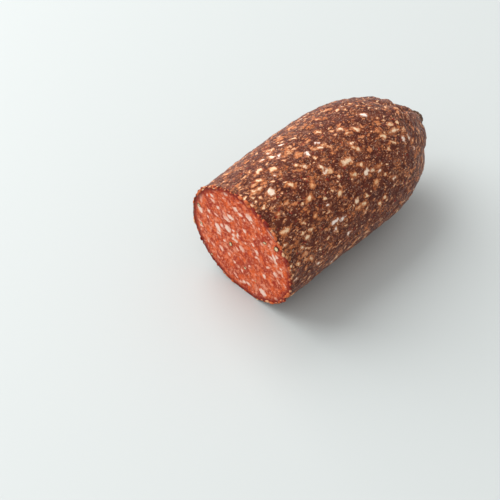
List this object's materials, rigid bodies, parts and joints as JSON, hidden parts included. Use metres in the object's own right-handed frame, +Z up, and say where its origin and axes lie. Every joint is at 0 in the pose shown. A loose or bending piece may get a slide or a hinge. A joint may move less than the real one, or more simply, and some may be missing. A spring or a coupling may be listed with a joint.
{
  "type": "cured sausage",
  "caption": "Log of dry-cured sausage, cut across at one end and gathered shut at the other, resting on its side.",
  "frame": {"origin": "below the middle of the log, on the surface it rests on", "axes": "+X along the log from the cut end to the gathered end, +Y to its left, +Z up"},
  "size_m": [0.1824, 0.0912, 0.0902],
  "materials": {
    "cured_meat": null
  },
  "bodies": {
    "root": {"salami_log": "cured_meat"}
  },
  "joints": []
}
